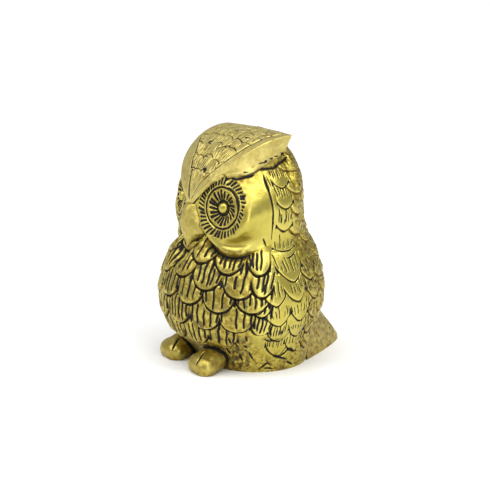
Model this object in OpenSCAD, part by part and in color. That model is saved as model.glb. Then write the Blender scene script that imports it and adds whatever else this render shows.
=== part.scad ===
// Small cast brass owl, hollow and open below, in the pieces that its crevices mark out.
// The owl faces -Y, its left side is +X, and it stands on z = 0.
// The origin is on the ground, under the middle of its overall box.

/* [Torso] */
// Half width of the belly
belly_half_width = 26.2; // [25.5:0.1:27]
// Half depth of the belly
belly_half_depth = 25.3; // [24.5:0.1:26]
// Height of the fullest part of the belly
belly_height = 21.2; // [20.5:0.1:22]
// Half width of the shoulders
shoulder_half_width = 24; // [23:0.1:25]
// Height of the shoulders
shoulder_height = 28; // [27:0.1:29]

/* [Head] */
// Half width of the head
head_half_width = 22.3; // [21.8:0.1:22.8]
// Half depth of the head
head_half_depth = 17.3; // [17:0.1:18]
// Height of the middle of the head
head_height = 52.5; // [52:0.1:53]
// Lowest point of the crevice between head and torso
seam_low = 36.5; // [36:0.1:37.5]

/* [Crest] */
// Half distance between the ear tips
ear_half_span = 19.2; // [18.8:0.1:19.8]
// Height of the front point of the crest
crest_front_height = 51.4; // [51:0.1:52]
// Rise of the crest from its front point to the ear tips
crest_rise = 20.6; // [20:0.1:21]
// Height of the concave side face under each ear
ear_face_height = 7.2; // [6:0.1:8]

/* [Face] */
// Sideways distance of an eye from the middle
eye_spread = 12.9; // [12.8:0.1:13.4]
// Height of the eyes
eye_height = 51; // [50.5:0.1:51.5]
// Angle that each eye looks outwards, in degrees
eye_turn = 18.5; // [17:0.5:20]
// Angle that each eye looks upwards, in degrees
eye_tilt = 6; // [4:0.5:8]
// Radius of the round eye plate
eye_disc_r = 6.3; // [6:0.1:6.5]
// Radius of the pupil
pupil_r = 1.65; // [1.4:0.05:1.9]
// Distance that the beak stands in front of the body axis
beak_reach = 20.3; // [20:0.1:20.8]
// Height of the tip of the beak
beak_tip_height = 37.3; // [37:0.1:38]

/* [Feet and tail] */
// Sideways distance of a foot from the middle
foot_spread = 9.3; // [9:0.1:10]
// Distance of the toe fronts in front of the body axis
toe_reach = 22.6; // [22:0.1:23]
// Distance of the tail tip behind the body axis
tail_reach = 37.5; // [36:0.1:38]
// Height of the tail where it leaves the back
tail_root_height = 17; // [15:0.1:18]

/* [Hollow] */
// Height of the roof of the hollow
hollow_top = 61; // [58:0.1:62]

/* [Hidden] */

polished = "gold";
antique = "darkgoldenrod";
bright = "khaki";

// Where the body axis stands, so that the overall box is centred on the origin.
axis_y = (belly_half_depth - tail_reach) / 2;

// Rounded volumes of the outside: centres and half sizes.
belly_half_height = 20.5;
breast_centre = [0, -4, 30];
breast_size = [20.5, 18.6, 14];
shoulder_setback = 3;
shoulder_half_depth = 20.9;
shoulder_half_height = 22;
skirt_centre = [5, 3, 3];
skirt_size = [15.5, 16, 13];
throat_centre = [0, -23, 37.5];
throat_size = [4.5, 4.6, 5];
skull_rise = 21.5;
cheek_centre = [0, 1.2, 44];
cheek_size = [20.5, 16.9, 12];
eye_boss_size = [10.2, 7, 9.4];
eye_boss_back = 3.5;
head_top = head_height + skull_rise;

// Fillets between those volumes.
torso_fillet = 4;
skirt_fillet = 6;
throat_fillet = 2;
neck_fillet = 3;
brow_fillet = 3;
eye_fillet = 6;
eye_plane_fillet = 1.5;

// Rounded volumes of the hollow.
low_hollow_centre = [0, 0, 20];
low_hollow_size = [22.4, 21.4, 17.5];
skirt_hollow_centre = [3.5, 2.5, 2];
skirt_hollow_size = [12.8, 13.2, 12];
high_hollow_centre = [0, 1, 46];
high_hollow_half_width = 16;
high_hollow_half_depth = 14;

// Grids that carry the shapes.
columns = 60;
body_rows = 16;
head_rows = 14;
hollow_rows = 9;
search_reach = 34;
search_steps = 15;

eye_forward = 14.3;
eye_sink = 1.5;
eye_axis = [sin(eye_turn) * cos(eye_tilt), -cos(eye_turn) * cos(eye_tilt), sin(eye_tilt)];
eye_place = [eye_spread, -eye_forward, eye_height];

crest_rows = 14;
crest_start = 5;
crest_across = 8;
crest_lip = 0.7;
crest_seat_inset = 2.5;
crest_seat_drop = 1.2;
crest_front_reach = 18;
crest_sweep = 24.4;
crest_spread = 0.82;
crest_back = [0, 7.6, crest_front_height + crest_rise - 3.5];

// ---- Smooth joining of rounded volumes ----

// Rough distance from a point to an ellipsoid: below 0 inside, above 0 outside.
function egg(p, centre, size) =
    let (q = p - centre,
         near = norm([q.x / size.x, q.y / size.y, q.z / size.z]),
         steep = norm([q.x / pow(size.x, 2), q.y / pow(size.y, 2), q.z / pow(size.z, 2)]) + 1e-9)
    near * (near - 1) / steep;

// The union of two volumes with a fillet of about the given size, and their common part.
function blend(a, b, fillet) = min(a, b) - pow(max(fillet - abs(a - b), 0), 2) / fillet / 4;
function common(a, b, fillet) = -blend(-a, -b, fillet);

function fold(p) = [sqrt(p.x * p.x + 1), p.y, p.z];

function torso_form(q) =
    let (belly = egg(q, [0, 0, belly_height],
                     [belly_half_width, belly_half_depth, belly_half_height]),
         breast = egg(q, breast_centre, breast_size),
         shoulders = egg(q, [0, shoulder_setback, shoulder_height],
                         [shoulder_half_width, shoulder_half_depth, shoulder_half_height]),
         upper = blend(blend(belly, shoulders, torso_fillet), breast, torso_fillet),
         full = blend(upper, egg(q, skirt_centre, skirt_size), skirt_fillet))
    common(full, -egg(q, throat_centre, throat_size), throat_fillet);

// A slope that draws the sides of the head in under the ears, down from the crest's crevice.
brow_from = 41;
brow_reach = 18.1;
brow_height = 60.1;
brow_slope = 33;
function brow_form(q) =
    let (turn = atan2(q.x, -q.y),
         reach = brow_reach - 0.042 * (turn - brow_from),
         height = brow_height + 0.067 * (turn - brow_from),
         here = ease((turn - brow_from + 6) / 14) * (1 - ease((turn - 110) / 16)))
    (norm([q.x, q.y]) - reach) * cos(brow_slope) + (q.z - height) * sin(brow_slope)
        - 12 * (1 - here);

function head_form(q) =
    let (skull = egg(q, [0, 0, head_height], [head_half_width, head_half_depth, skull_rise]),
         cheeks = egg(q, cheek_centre, cheek_size),
         eye_boss = egg(q, eye_place - eye_boss_back * eye_axis, eye_boss_size),
         round_head = blend(blend(skull, cheeks, neck_fillet), eye_boss, eye_fillet))
    common(common(round_head, (q - eye_place) * eye_axis, eye_plane_fillet),
           brow_form(q), brow_fillet);

function owl_form(p) = blend(torso_form(fold(p)), head_form(fold(p)), neck_fillet);

function hollow_form(p) =
    let (q = fold(p),
         lower = egg(q, low_hollow_centre, low_hollow_size),
         skirt = egg(q, skirt_hollow_centre, skirt_hollow_size),
         upper = egg(q, high_hollow_centre, [high_hollow_half_width, high_hollow_half_depth,
                                             hollow_top - high_hollow_centre.z]))
    blend(blend(lower, skirt, skirt_fillet), upper, neck_fillet + 2);

// Direction around the body axis: 0 is the front and 90 the owl's left.
function around(angle, radius, z) = [radius * sin(angle), -radius * cos(angle), z];

// Radius at which a form ends in one direction, found by halving.
function outer_reach(angle, z, low = 0, high = search_reach, steps = search_steps) =
    let (middle = (low + high) / 2)
    steps == 0 ? middle
        : owl_form(around(angle, middle, z)) > 0 ? outer_reach(angle, z, low, middle, steps - 1)
        : outer_reach(angle, z, middle, high, steps - 1);
function hollow_reach(angle, z, low = 0, high = search_reach, steps = search_steps) =
    let (middle = (low + high) / 2)
    steps == 0 ? middle
        : hollow_form(around(angle, middle, z)) > 0 ? hollow_reach(angle, z, low, middle, steps - 1)
        : hollow_reach(angle, z, middle, high, steps - 1);

// ---- Crevice between head and torso ----

seam_turn = 54;
seam_front_rise = 6.5;
seam_back_rise = 3.7;
seam_back_spread = 38;
seam_slope = 17;
function ease(t) = let (u = min(max(t, 0), 1)) u * u * (3 - 2 * u);
function seam_z(angle) =
    let (a = abs(angle))
    a < seam_turn ? seam_low + min(seam_front_rise, seam_slope * pow((seam_turn - a) / seam_turn, 2))
        : seam_low + seam_back_rise * ease((a - seam_turn) / seam_back_spread);

// ---- Rings of points round the body axis ----

function column_angle(i) = -180 + 360 * i / columns;
function ring_of(rows_z) = [for (i = [0 : columns - 1]) rows_z(column_angle(i))];
function body_ring(k) = ring_of(function(a)
    let (z = seam_z(a) * k / body_rows) around(a, outer_reach(a, z), z));
function head_ring(k) = ring_of(function(a)
    let (z = seam_z(a) + (head_top - seam_z(a)) * sin(90 * k / head_rows))
    around(a, outer_reach(a, z), z));
function low_hollow_ring(k) = ring_of(function(a)
    let (z = seam_z(a) * k / hollow_rows) around(a, hollow_reach(a, z), z));
function high_hollow_ring(k) = ring_of(function(a)
    let (z = seam_z(a) + (hollow_top - seam_z(a)) * sin(90 * k / hollow_rows))
    around(a, hollow_reach(a, z), z));

// Faces between ring r and ring r + 1 of n points each; the first ring is the lower, outside.
function band(r, n) = [for (i = [0 : n - 1])
    let (a = r * n + i, b = r * n + (i + 1) % n)
    each [[a, a + n, b], [b, a + n, b + n]]];
function wrap_band(last, n) = [for (i = [0 : n - 1])
    let (a = last * n + i, b = last * n + (i + 1) % n, c = i, d = (i + 1) % n)
    each [[a, c, b], [b, c, d]]];
function fan(r, n, tip) = [for (i = [0 : n - 1]) [r * n + i, tip, r * n + (i + 1) % n]];
function flat_join(rings) = [for (ring = rings) each ring];

module place() {
    translate([0, axis_y, 0]) children();
}

// A closed solid from a stack of rings, with one point above and one below.
module capped_stack(rings, bottom, top) {
    n = len(rings[0]);
    last = len(rings) - 1;
    points = concat(flat_join(rings), [bottom, top]);
    tip = len(points) - 1;
    polyhedron(points, concat(
        [for (r = [0 : last - 1]) each band(r, n)],
        [for (f = fan(0, n, tip - 1)) [f[0], f[2], f[1]]],
        fan(last, n, tip)));
}

// A tube whose last ring joins back to its first.
module looped_stack(rings) {
    n = len(rings[0]);
    last = len(rings) - 1;
    polyhedron(flat_join(rings), concat(
        [for (r = [0 : last - 1]) each band(r, n)],
        wrap_band(last, n)));
}

// A shell with a closed top: outer rings upwards, hollow rings downwards.
module domed_shell(outer, outer_top, inner, inner_top) {
    n = len(outer[0]);
    a = len(outer);
    b = len(inner);
    points = concat(flat_join(outer), flat_join(inner), [outer_top, inner_top]);
    outer_tip = (a + b) * n;
    polyhedron(points, concat(
        [for (r = [0 : a - 2]) each band(r, n)],
        fan(a - 1, n, outer_tip),
        [for (f = fan(a, n, outer_tip + 1)) [f[0], f[2], f[1]]],
        [for (r = [a : a + b - 2]) each band(r, n)],
        wrap_band(a + b - 1, n)));
}

module owl_solid() {
    rings = concat([for (k = [0 : body_rows]) body_ring(k)],
                   [for (k = [1 : head_rows - 1]) head_ring(k)]);
    capped_stack(rings, [0, 0, 0], [0, 0, head_top]);
}

// ---- Crest ----

function crest_edge(t) = [
    ear_half_span * pow(sin(t), crest_spread),
    crest_sweep * (1 - cos(t)) - crest_front_reach,
    crest_front_height + crest_rise * (0.87 * sin(t) + 0.13 * pow(sin(t), 5))];
function crest_crown(t) = 2.8 * sin(t) * (1 - 0.87 * pow(sin(t), 16));
function crest_bow(t) = 0.7 * pow(sin(t), 6);
function crest_drop(t) = crest_lip + (ear_face_height - crest_lip) * ease((t - 27) / 37);
function crest_inset(t) = 5 * pow(max(t - 50, 0) / 40, 1.6);

function crest_point(side, t) = let (e = crest_edge(t))
    [side * e.x, e.y + crest_bow(t) * (1 - side * side), e.z + crest_crown(t) * (1 - side * side)];
// One closed ring of points: over the top, down one concave side, along the seat and up.
function crest_ring(t, lift) =
    let (e = crest_edge(t), inset = crest_inset(t), drop = crest_drop(t),
         cove = e - [0.62 * inset, 0, 0.5 * drop],
         crevice = e - [inset, 0, drop],
         seat = e - [min(inset + crest_seat_inset, 0.8 * e.x), 0, drop + crest_seat_drop])
    concat(
        [for (i = [0 : crest_across]) crest_point(1 - 2 * i / crest_across, t) + [0, 0, lift]],
        [[-cove.x, cove.y, cove.z], [-crevice.x, crevice.y, crevice.z]],
        [for (s = [-1 : 0.5 : 1]) [s * seat.x, seat.y + 0.5 * crest_bow(t) * (1 - s * s), seat.z]],
        [crevice, cove]);
function crest_turn(k) = crest_start + (90 - crest_start) * k / crest_rows;

module crest_solid(lift = 0) {
    rings = [for (k = [0 : crest_rows]) crest_ring(crest_turn(k), lift)];
    n = len(rings[0]);
    front = crest_edge(0) + [0, 0, -crest_lip / 2];
    points = concat(flat_join(rings), [front, crest_back]);
    tip = len(points) - 1;
    polyhedron(points, [for (f = concat(
        [for (r = [0 : crest_rows - 1]) each band(r, n)],
        [for (f = fan(0, n, tip - 1)) [f[0], f[2], f[1]]],
        fan(crest_rows, n, tip))) [f[0], f[2], f[1]]]);
}

// ---- Beak, eyes, feet and tail ----

beak_rows = 10;
beak_columns = 10;
beak_top = 51;
beak_top_reach = 18.3;
beak_tip_forward = 0.7;
beak_swell = beak_reach - beak_top_reach - 0.2;
beak_top_half_width = 3.2;
beak_full_half_width = 6.1;
beak_full_at = 0.6;
beak_edge_y = -14;
beak_back_y = -10;
function beak_half_width(u) =
    u < beak_full_at
        ? beak_top_half_width
            + (beak_full_half_width - beak_top_half_width) * ease(u / beak_full_at)
        : beak_full_half_width * pow((1 - u) / (1 - beak_full_at), 0.8) + 0.15;
function beak_front(u) =
    -(beak_top_reach + beak_tip_forward * u + beak_swell * sin(180 * pow(u, 0.6)));
function beak_ring(u) =
    let (z = beak_top + (beak_tip_height - beak_top) * u,
         w = beak_half_width(u),
         depth = beak_front(u) - beak_edge_y)
    concat([for (i = [0 : beak_columns]) let (a = -90 + 180 * i / beak_columns)
                [w * sin(a), beak_edge_y + depth * pow(cos(a), 0.7), z]],
           [[w, beak_back_y, z], [-w, beak_back_y, z]]);
module beak_solid() {
    rings = [for (k = [beak_rows : -1 : 0]) beak_ring(k / beak_rows)];
    capped_stack(rings, [0, beak_edge_y, beak_tip_height - 0.1], [0, beak_edge_y, beak_top]);
}

module at_eye(side) {
    place() mirror([side < 0 ? 1 : 0, 0, 0]) translate(eye_place) rotate([0, 0, eye_turn])
        rotate([90 - eye_tilt, 0, 0]) children();
}

module eye_sockets() {
    for (side = [-1, 1])
        at_eye(side) translate([0, 0, -eye_sink]) cylinder(r = eye_disc_r, h = 20, $fn = 72);
}

disc_edge_drop = 0.45;
dish_r = 5.1;
dish_depth = 0.7;
pupil_height = 1.3;
pupil_seat_r = pupil_r + 0.75;
pupil_seat_depth = dish_depth + 0.3;
module eye_disc(side) {
    at_eye(side) rotate_extrude($fn = 72) polygon([
        [0, -eye_sink], [eye_disc_r, -eye_sink], [eye_disc_r, -disc_edge_drop],
        [eye_disc_r - 0.5, 0], [dish_r, 0], [pupil_seat_r + 0.4, -dish_depth],
        [pupil_seat_r, -pupil_seat_depth], [0, -pupil_seat_depth]]);
}

module pupil(side) {
    ball_r = (pupil_r * pupil_r + pupil_height * pupil_height) / 2 / pupil_height;
    at_eye(side) translate([0, 0, -pupil_seat_depth]) intersection() {
        translate([0, 0, pupil_height - ball_r]) sphere(r = ball_r, $fn = 48);
        cylinder(r = pupil_r + 1, h = pupil_height + 1, $fn = 48);
    }
}

toe_r = 3.6;
toe_spread = 2.3;
toe_height = 2.6;
heel_r = 5.4;
heel_reach = 14.5;
heel_height = 3.2;
above_ground = 80;
module foot(side) {
    place() difference() {
        intersection() {
            hull() {
                for (x = [-toe_spread, toe_spread])
                    translate([side * (foot_spread + x), toe_r - toe_reach, toe_height])
                        sphere(r = toe_r, $fn = 28);
                translate([side * foot_spread, -heel_reach, heel_height])
                    sphere(r = heel_r, $fn = 28);
            }
            translate([-above_ground / 2, -above_ground / 2, 0]) cube(above_ground);
        }
        owl_solid();
    }
}

tail_rows = 12;
tail_root_y = 12;
tail_root_half_width = 16.2;
tail_ridge_extra = 12.4;
tail_end_thickness = 1.6;
tail_columns = 10;
function tail_ring(k) =
    let (u = k / tail_rows, y = tail_root_y + (tail_reach - tail_root_y) * u,
         w = tail_root_half_width * pow(1 - u, 0.8) + 0.6 * (1 - u) + 0.5,
         ridge = (tail_root_height + tail_ridge_extra) * pow(1 - u, 0.95) + tail_end_thickness)
    concat([for (i = [0 : tail_columns]) let (a = -90 + 180 * i / tail_columns)
                [w * sin(a), y, ridge * pow(cos(a), 1.35)]],
           [[0, y, 0]]);
module tail_solid() {
    rings = [for (k = [0 : tail_rows]) tail_ring(k)];
    n = len(rings[0]);
    last = len(rings) - 1;
    points = concat(flat_join(rings), [[0, tail_root_y, 3], [0, tail_reach, 1]]);
    tip = len(points) - 1;
    polyhedron(points, concat(
        [for (r = [0 : last - 1]) each band(r, n)],
        [for (f = fan(0, n, tip - 1)) [f[0], f[2], f[1]]],
        fan(last, n, tip)));
}

// ---- The pieces ----

module body_shell() {
    color(antique) place() looped_stack(concat(
        [for (k = [0 : body_rows]) body_ring(k)],
        [for (k = [hollow_rows : -1 : 0]) low_hollow_ring(k)]));
}

module head_shell() {
    color(polished) difference() {
        place() difference() {
            domed_shell([for (k = [0 : head_rows - 1]) head_ring(k)], [0, 0, head_top],
                        [for (k = [hollow_rows - 1 : -1 : 0]) high_hollow_ring(k)], [0, 0, hollow_top]);
            crest_solid(lift = 12);
        }
        eye_sockets();
    }
}

module crest() {
    color(bright) place() crest_solid();
}

module beak() {
    color(polished) difference() {
        place() difference() {
            beak_solid();
            owl_solid();
            crest_solid();
        }
        eye_sockets();
    }
}

module left_eye_disc() {
    color(antique) eye_disc(1);
}

module right_eye_disc() {
    color(antique) eye_disc(-1);
}

module left_pupil() {
    color(bright) pupil(1);
}

module right_pupil() {
    color(bright) pupil(-1);
}

module left_foot() {
    color(polished) foot(1);
}

module right_foot() {
    color(polished) foot(-1);
}

module tail() {
    color(antique) place() difference() {
        tail_solid();
        owl_solid();
    }
}

body_shell();
head_shell();
crest();
beak();
left_eye_disc();
right_eye_disc();
left_pupil();
right_pupil();
left_foot();
right_foot();
tail();
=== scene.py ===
"""Brass owl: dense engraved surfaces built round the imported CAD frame.

All shaping is worked out in millimetres about the owl's own upright axis, then moved into the
row frame in metres. Turn is the direction round that axis in degrees: 0 is the front (-Y) and
90 is the owl's left (+X). Height is measured from the ground.
"""
import itertools
import math

import bpy
import numpy as np
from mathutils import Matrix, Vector


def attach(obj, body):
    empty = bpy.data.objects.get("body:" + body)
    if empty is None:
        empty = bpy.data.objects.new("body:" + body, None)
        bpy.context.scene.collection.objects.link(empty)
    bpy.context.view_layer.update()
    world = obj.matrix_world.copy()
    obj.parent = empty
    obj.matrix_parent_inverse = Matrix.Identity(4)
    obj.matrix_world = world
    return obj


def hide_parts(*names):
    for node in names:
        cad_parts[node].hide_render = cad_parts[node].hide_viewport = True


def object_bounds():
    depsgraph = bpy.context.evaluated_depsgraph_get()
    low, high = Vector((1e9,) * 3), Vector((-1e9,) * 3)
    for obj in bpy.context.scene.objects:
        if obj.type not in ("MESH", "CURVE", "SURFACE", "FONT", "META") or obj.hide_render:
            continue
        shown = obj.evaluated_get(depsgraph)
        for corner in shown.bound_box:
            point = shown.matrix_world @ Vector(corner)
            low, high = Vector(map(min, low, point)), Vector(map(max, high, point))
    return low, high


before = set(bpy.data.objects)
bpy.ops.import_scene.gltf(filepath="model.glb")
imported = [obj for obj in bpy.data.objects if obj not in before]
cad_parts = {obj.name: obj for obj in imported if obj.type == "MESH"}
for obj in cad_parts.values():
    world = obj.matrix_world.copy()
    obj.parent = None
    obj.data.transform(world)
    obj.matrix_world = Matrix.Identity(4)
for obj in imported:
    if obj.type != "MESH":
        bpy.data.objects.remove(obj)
cad_low, cad_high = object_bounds()

# ---------------------------------------------------------------- how fine the shells are
COLUMNS = 960
BODY_ROWS = 290
HEAD_ROWS = 230
HOLLOW_ROWS = 16
TURNS = np.linspace(-180, 180, COLUMNS, endpoint=False)
TURN_STEP = 360 / COLUMNS

# ---------------------------------------------------------------- sizes, in mm and degrees
MM = 0.001
TAIL_REACH = 37.5
AXIS_Y = cad_high.y / MM - TAIL_REACH
SEARCH_REACH = 34.0
SIDE_NAMES = {1: "left", -1: "right"}
EYE_PLACE = np.array([12.9, -14.3, 51.0])
EYE_TURN = 18.5
EYE_TILT = 6.0
EYE_R = 6.3
EYE_SINK = 1.5
HEAD_TOP = 73.95
HOLLOW_TOP = 61.0
BEAK_TOP = 51.0
BEAK_TIP = 37.3


def sin(angle):
    return np.sin(np.radians(angle))


def cos(angle):
    return np.cos(np.radians(angle))


EYE_AXIS = np.array([sin(EYE_TURN) * cos(EYE_TILT), -cos(EYE_TURN) * cos(EYE_TILT), sin(EYE_TILT)])
EYE_SIDE = np.array([cos(EYE_TURN), sin(EYE_TURN), 0.0])
EYE_UP = np.cross(EYE_SIDE, -EYE_AXIS)
EYE_UP = EYE_UP * np.sign(EYE_UP[2])


# ---------------------------------------------------------------- small helpers
def ease(t):
    u = np.clip(t, 0.0, 1.0)
    return u * u * (3 - 2 * u)


def bump(distance, width):
    """1 at distance 0, falling smoothly to 0 at the given width."""
    return 1 - ease(np.abs(distance) / width)


def bell(distance, width):
    return np.exp(-np.square(distance / width))


def wrap_turn(turn):
    """The same direction, between -180 and 180."""
    return (turn + 180) % 360 - 180


def place(x, y, z):
    """Points from three coordinates, which may be grids, rows or single numbers."""
    return np.stack(np.broadcast_arrays(x, y, z), axis=-1)


def mirror(points, side):
    """Points given for the owl's left (side 1), taken over to its right for side -1."""
    return points * np.array([side, 1, 1])


def unit(vectors):
    return vectors / (np.linalg.norm(vectors, axis=-1, keepdims=True) + 1e-12)


class Noise:
    """Smooth noise between -1 and 1 from a repeating lattice of seeded numbers."""

    SIZE = 32

    def __init__(self, seed):
        shape = (self.SIZE,) * 3
        self.table = np.random.default_rng(seed).random(shape) * 2 - 1

    def __call__(self, points, grain):
        scaled = points / grain
        cell = np.floor(scaled).astype(int)
        part = ease(scaled - cell)
        total = np.zeros(points.shape[:-1])
        for corner in itertools.product((0, 1), repeat=3):
            step = np.array(corner)
            weight = np.prod(np.where(step, part, 1 - part), axis=-1)
            x, y, z = np.moveaxis((cell + step) % self.SIZE, -1, 0)
            total += weight * self.table[x, y, z]
        return total


noise_a = Noise(11)
noise_b = Noise(23)


# ---------------------------------------------------------------- the owl's form
def egg(p, centre, size):
    """Rough distance to an ellipsoid: below 0 inside, above 0 outside."""
    q = p - np.array(centre, float)
    size = np.array(size, float)
    near = np.sqrt(np.square(q / size).sum(-1))
    steep = np.sqrt(np.square(q / size ** 2).sum(-1)) + 1e-9
    return near * (near - 1) / steep


def blend(a, b, fillet):
    """Both forms together, with the crease between them rounded."""
    return np.minimum(a, b) - np.square(np.maximum(fillet - np.abs(a - b), 0)) / fillet / 4


def common(a, b, fillet):
    """What lies in both forms, with the edge rounded."""
    return -blend(-a, -b, fillet)


def fold(p):
    """Mirrors the owl's right onto its left, rounded where the two halves meet."""
    q = np.array(p, float)
    q[..., 0] = np.sqrt(np.square(q[..., 0]) + 1)
    return q


# eggs: centre, then half sizes
BELLY = ((0, 0, 21.2), (26.2, 25.3, 20.5))
BREAST = ((0, -4, 30), (20.5, 18.6, 14))
SHOULDERS = ((0, 3, 28), (24, 20.9, 22))
SKIRT = ((5, 3, 3), (15.5, 16, 13))
THROAT = ((0, -23, 37.5), (4.5, 4.6, 5))
SKULL = ((0, 0, 52.5), (22.3, 17.3, 21.5))
CHEEKS = ((0, 1.2, 44), (20.5, 16.9, 12))
LOWER_HOLLOW = ((0, 0, 20), (22.4, 21.4, 17.5))
SKIRT_HOLLOW = ((3.5, 2.5, 2), (12.8, 13.2, 12))
UPPER_HOLLOW = ((0, 1, 46), (16, 14, HOLLOW_TOP - 46))
TORSO_FILLET = 4
SKIRT_FILLET = 6
NECK_FILLET = 3


def torso_form(q):
    """Belly, shoulders, breast and skirt, hollowed a little at the throat."""
    full = blend(blend(egg(q, *BELLY), egg(q, *SHOULDERS), TORSO_FILLET), egg(q, *BREAST),
                 TORSO_FILLET)
    full = blend(full, egg(q, *SKIRT), SKIRT_FILLET)
    return common(full, -egg(q, *THROAT), 2)


BROW_FROM = 41
BROW_REACH = 18.1
BROW_HEIGHT = 60.1
BROW_SLOPE = 33
EYE_BOSS = (10.2, 7, 9.4)
EYE_BOSS_SINK = 3.5


def brow_form(q):
    """The slope that draws the head in under the ears."""
    turn = np.degrees(np.arctan2(q[..., 0], -q[..., 1]))
    past = turn - BROW_FROM
    here = ease((turn - 35) / 14) * (1 - ease((turn - 110) / 16))
    out = np.hypot(q[..., 0], q[..., 1]) - (BROW_REACH - 0.042 * past)
    up = q[..., 2] - (BROW_HEIGHT + 0.067 * past)
    return out * cos(BROW_SLOPE) + up * sin(BROW_SLOPE) - 12 * (1 - here)


def head_form(q):
    """Skull and cheeks, cut flat in the plane of each face disc."""
    boss = egg(q, EYE_PLACE - EYE_BOSS_SINK * EYE_AXIS, EYE_BOSS)
    face_plane = (q - EYE_PLACE) @ EYE_AXIS
    round_head = blend(blend(egg(q, *SKULL), egg(q, *CHEEKS), NECK_FILLET), boss, 6)
    return common(common(round_head, face_plane, 1.5), brow_form(q), 3)


def owl_form(p):
    q = fold(p)
    return blend(torso_form(q), head_form(q), NECK_FILLET)


def hollow_form(p):
    """The open hollow of the casting."""
    q = fold(p)
    lower = blend(egg(q, *LOWER_HOLLOW), egg(q, *SKIRT_HOLLOW), SKIRT_FILLET)
    return blend(lower, egg(q, *UPPER_HOLLOW), 5)


def around(turn, radius, height):
    return place(radius * sin(turn), -radius * cos(turn), height)


def find_edge(is_past, shape, low, high, steps=16):
    """Where is_past turns true between low and high, found by halving."""
    low = np.full(shape, float(low))
    high = np.full(shape, float(high))
    for _ in range(steps):
        middle = (low + high) / 2
        past = is_past(middle)
        high = np.where(past, middle, high)
        low = np.where(past, low, middle)
    return (low + high) / 2


def reach(form, turn, height):
    """Radius at which a form ends in each direction."""
    turn, height = np.broadcast_arrays(turn, height)

    def is_outside(radius):
        return form(around(turn, radius, height)) > 0

    return find_edge(is_outside, turn.shape, 0, SEARCH_REACH)


def surface(form, turn, height):
    """The points where a form ends, at the given turns and heights."""
    return around(turn, reach(form, turn, height), height)


SEAM_LOW = 36.5
SEAM_TURN = 54.0


def seam_heights():
    """Height of the crevice between head and torso, at each turn."""
    a = np.abs(TURNS)
    front = np.minimum(6.5, 17 * np.square((SEAM_TURN - a) / SEAM_TURN))
    back = 3.7 * ease((a - SEAM_TURN) / 38)
    return SEAM_LOW + np.where(a < SEAM_TURN, front, back)


SEAM = seam_heights()


# ---------------------------------------------------------------- sheets and engraving
class Sheet:
    """A grid of points with relief along the normal (rise, mm), a black field for patina and
    painted shade, and a brown field for grime and painted shade.
    """

    def __init__(self, points, wrap):
        self.base = points
        self.wrap = wrap
        self.rise = np.zeros(points.shape[:2])
        self.ink_and_shade = np.zeros(points.shape[:2])
        self.grime_and_shade = np.zeros(points.shape[:2])
        self.normal = self.find_normal(points)

    def find_normal(self, points):
        if self.wrap:
            across = np.roll(points, -1, axis=1) - np.roll(points, 1, axis=1)
        else:
            across = np.gradient(points, axis=1)
        return unit(np.cross(across, np.gradient(points, axis=0)))

    def soften(self, values, cells):
        """Box blur, twice, that wraps round the columns where the sheet does."""
        result = values
        mode = "wrap" if self.wrap else "edge"
        for _ in range(2):
            for axis in (0, 1):
                pad = [(0, 0), (0, 0)]
                pad[axis] = (cells + 1, cells)
                padded = np.pad(result, pad, mode=mode if axis else "edge")
                total = np.cumsum(padded, axis=axis)
                width = 2 * cells + 1
                upper = np.take(total, range(width, total.shape[axis]), axis=axis)
                lower = np.take(total, range(0, total.shape[axis] - width), axis=axis)
                result = (upper - lower) / width
        return result

    def wear(self):
        """High spots above 0 and low spots below 0, against the relief around them."""
        return np.clip((self.rise - self.soften(self.rise, 4)) * 5, -1, 1)

    def darken(self, amount, where=...):
        """Raises the black patina, and the painted shade kept with it, to at least the given
        amount.
        """
        self.ink_and_shade[where] = np.maximum(self.ink_and_shade[where], amount)

    def soil_and_shade(self, amount, where=...):
        """Raises the brown grime, and the painted shade kept with it, to at least the given amount.
        """
        self.grime_and_shade[where] = np.maximum(self.grime_and_shade[where], amount)

    def face(self, direction):
        """Turns the normals over if they point against the direction."""
        if np.mean(np.sum(self.normal * direction, axis=-1)) < 0:
            self.normal = -self.normal

    def final_points(self):
        return self.base + self.normal * self.rise[..., None]

    def near(self, points, margin):
        """Index arrays of the grid points inside the box round some points."""
        low = points.min(0) - margin
        high = points.max(0) + margin
        return np.nonzero(np.all((self.base > low) & (self.base < high), axis=-1))

    def cut(self, where, profile, depth, ink_and_shade=1.0):
        self.rise[where] -= depth * profile
        self.darken(ink_and_shade * ease((profile - 0.25) / 0.5), where)

    def carve(self, points, width, depth, ink_and_shade=1.0, taper=0.35, stain=0.0):
        """Cuts a tapered stroke along a smooth curve through 3-D points on the surface.

        A stain of the given width may spread round it.
        """
        path = smooth_curve(points)
        where = self.near(path, width + 0.3 + 2 * stain)
        if not len(where[0]):
            return
        spots = self.base[where]
        best = np.full(len(spots), 1e9)
        along = np.zeros(len(spots))
        count = len(path) - 1
        for i in range(count):
            span = path[i + 1] - path[i]
            t = np.clip(((spots - path[i]) @ span) / (span @ span + 1e-12), 0, 1)
            distance = np.linalg.norm(spots - path[i] - t[:, None] * span, axis=1)
            closer = distance < best
            best = np.where(closer, distance, best)
            along = np.where(closer, (i + t) / count, along)
        ends = np.minimum(along, 1 - along) / taper
        half = width / 2 * (0.25 + 0.75 * ease(ends))
        self.cut(where, bump(best, half * 1.5), depth, ink_and_shade)
        if stain:
            patch = 0.9 + 0.3 * noise_a(spots, 1.3)
            self.soil_and_shade(patch * bell(best, stain), where)


def smooth_curve(points, per_span=6):
    """Catmull-Rom curve through the points."""
    if len(points) == 2:
        return points
    ends = np.vstack([2 * points[0] - points[1], points, 2 * points[-1] - points[-2]])
    path = []
    for a, b, c, d in zip(ends, ends[1:], ends[2:], ends[3:]):
        for t in np.arange(per_span) / per_span:
            path.append(0.5 * (2 * b + (c - a) * t + (2 * a - 5 * b + 4 * c - d) * t ** 2
                               + (3 * b - a - 3 * c + d) * t ** 3))
    path.append(points[-1])
    return np.array(path)


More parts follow.
